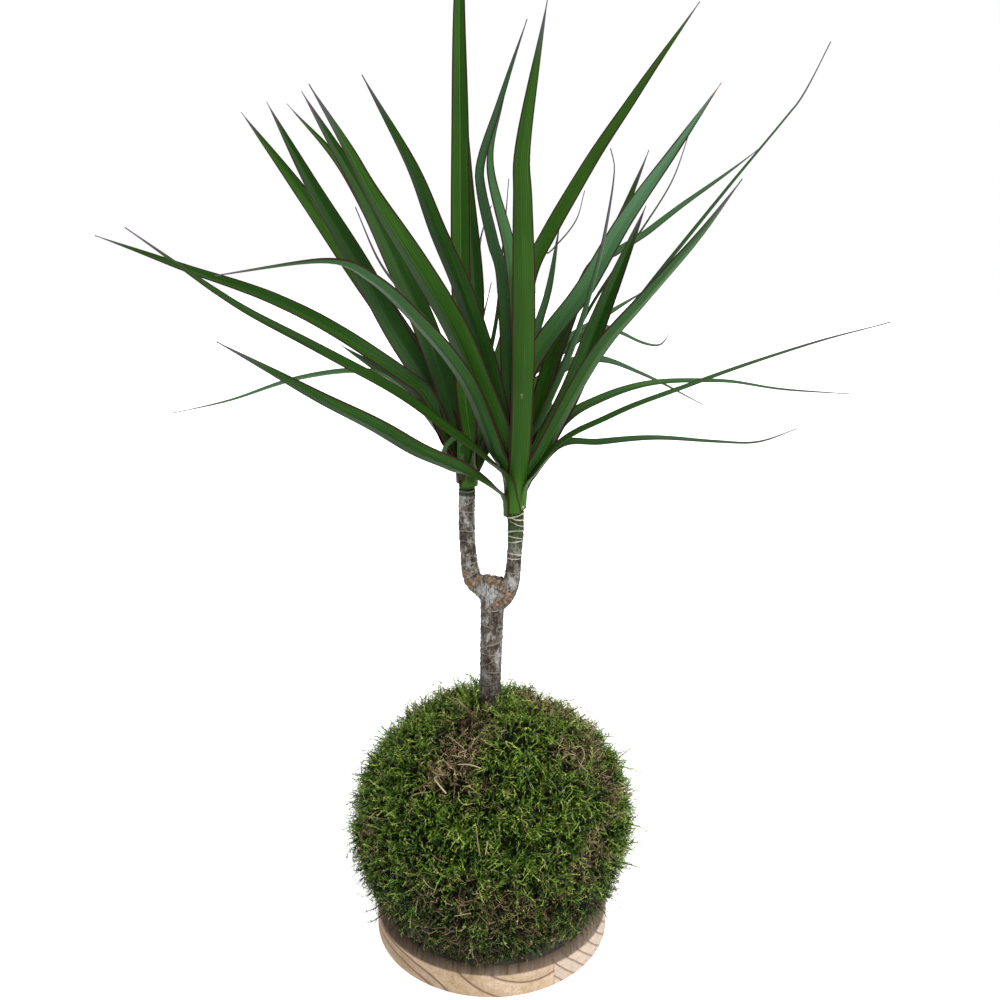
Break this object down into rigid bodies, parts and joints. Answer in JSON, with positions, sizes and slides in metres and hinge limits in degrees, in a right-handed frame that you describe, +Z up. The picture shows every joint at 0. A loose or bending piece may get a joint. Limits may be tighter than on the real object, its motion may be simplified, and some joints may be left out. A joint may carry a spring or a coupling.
{
  "type": "kokedama moss ball plant",
  "caption": "House plant with a forked stem and two heads of strap leaves, growing from a thread-bound ball of soil and moss that stands on a round wooden saucer.",
  "frame": {"origin": "centre of the saucer's flat underside", "axes": "+Z up the stem, -Y towards the front of the picture, +X to the right in it; the leaf tips give the greatest height"},
  "size_m": [0.3852, 0.2653, 0.5121],
  "materials": {
    "wood": "bare pine, turned, matt",
    "soil": "packed damp peat and clay, matt",
    "moss": "dense feathery moss, matt",
    "nylon": "clear monofilament",
    "bark": "young grey-brown bark with pale leaf scars",
    "leaf": "smooth glossy leaf, green with a dark red margin"
  },
  "bodies": {
    "root": {"saucer": "wood", "soil_ball": "soil", "moss_wrap": "moss", "binding_thread": "nylon", "trunk": "bark", "left_head": "leaf", "right_head": "leaf"}
  },
  "joints": []
}
